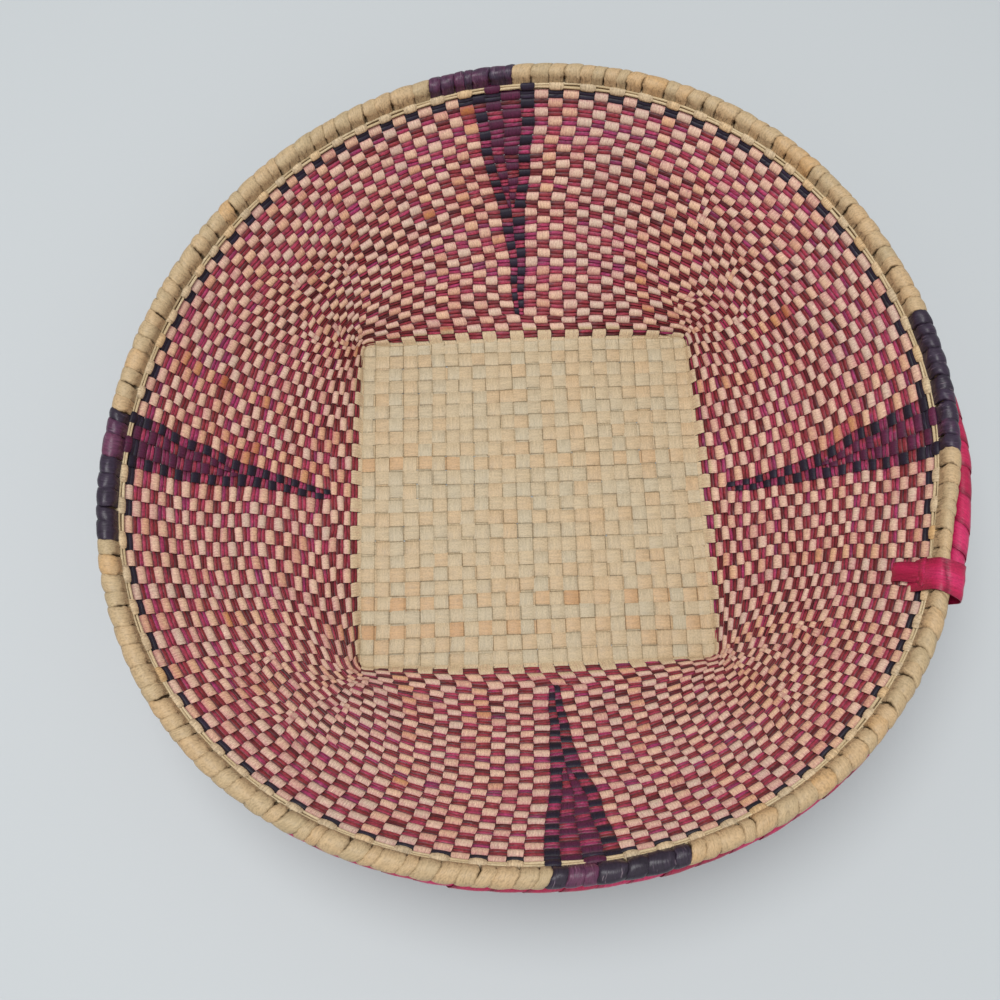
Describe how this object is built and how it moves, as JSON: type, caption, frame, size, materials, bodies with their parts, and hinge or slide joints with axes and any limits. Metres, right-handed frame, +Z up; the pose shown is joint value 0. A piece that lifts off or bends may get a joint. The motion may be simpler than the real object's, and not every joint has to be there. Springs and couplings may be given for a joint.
{
  "type": "wall basket",
  "caption": "Round shallow wall basket of woven palm strip on a square plaited base, with dyed wedges and a bound rim.",
  "frame": {"origin": "middle of the underside of the square base mat, which rests on a table", "axes": "+Z up out of the open top, +X to the right in the picture's view, +Y away from its viewer"},
  "size_m": [0.4214, 0.4253, 0.112],
  "materials": {
    "palm_mat": "matte plaited palm strip, undyed",
    "palm_stakes": "matte woven palm strip, undyed stakes over dyed wefts",
    "purple_stakes": "satin palm strip dyed near-black and plum",
    "dark_weft": "matte palm strip dyed dark purple",
    "peeled_rod": "satin peeled rod",
    "core_fibre": "matte plant stems, hidden",
    "natural_wrap": "satin wide palm strip, undyed",
    "dyed_wrap": "satin wide palm strip dyed aubergine",
    "magenta_wrap": "satin palm strip dyed magenta"
  },
  "bodies": {
    "root": {"base_mat": "palm_mat", "wall_panel_east_north": "palm_stakes", "wall_panel_north_west": "palm_stakes", "wall_panel_west_south": "palm_stakes", "wall_panel_south_east": "palm_stakes", "dyed_wedge_east": "purple_stakes", "dyed_wedge_north": "purple_stakes", "dyed_wedge_west": "purple_stakes", "dyed_wedge_south": "purple_stakes", "top_weft": "dark_weft", "border_rod_upper": "peeled_rod", "border_rod_lower": "peeled_rod", "turned_ends_east": "purple_stakes", "turned_ends_north": "purple_stakes", "turned_ends_west": "purple_stakes", "turned_ends_south": "purple_stakes", "turned_ends_east_north": "natural_wrap", "turned_ends_north_west": "natural_wrap", "turned_ends_west_south": "natural_wrap", "turned_ends_south_east": "natural_wrap", "rim_core": "core_fibre", "dyed_wrap_east": "dyed_wrap", "dyed_wrap_north": "dyed_wrap", "dyed_wrap_west": "dyed_wrap", "dyed_wrap_south": "dyed_wrap", "rim_wrap_east_north": "natural_wrap", "rim_wrap_north_west": "natural_wrap", "rim_wrap_west_south": "natural_wrap", "rim_wrap_south_east": "natural_wrap", "outer_hoop_cane": "core_fibre", "outer_hoop_wrap": "magenta_wrap", "lashing_strap": "magenta_wrap"}
  },
  "joints": []
}
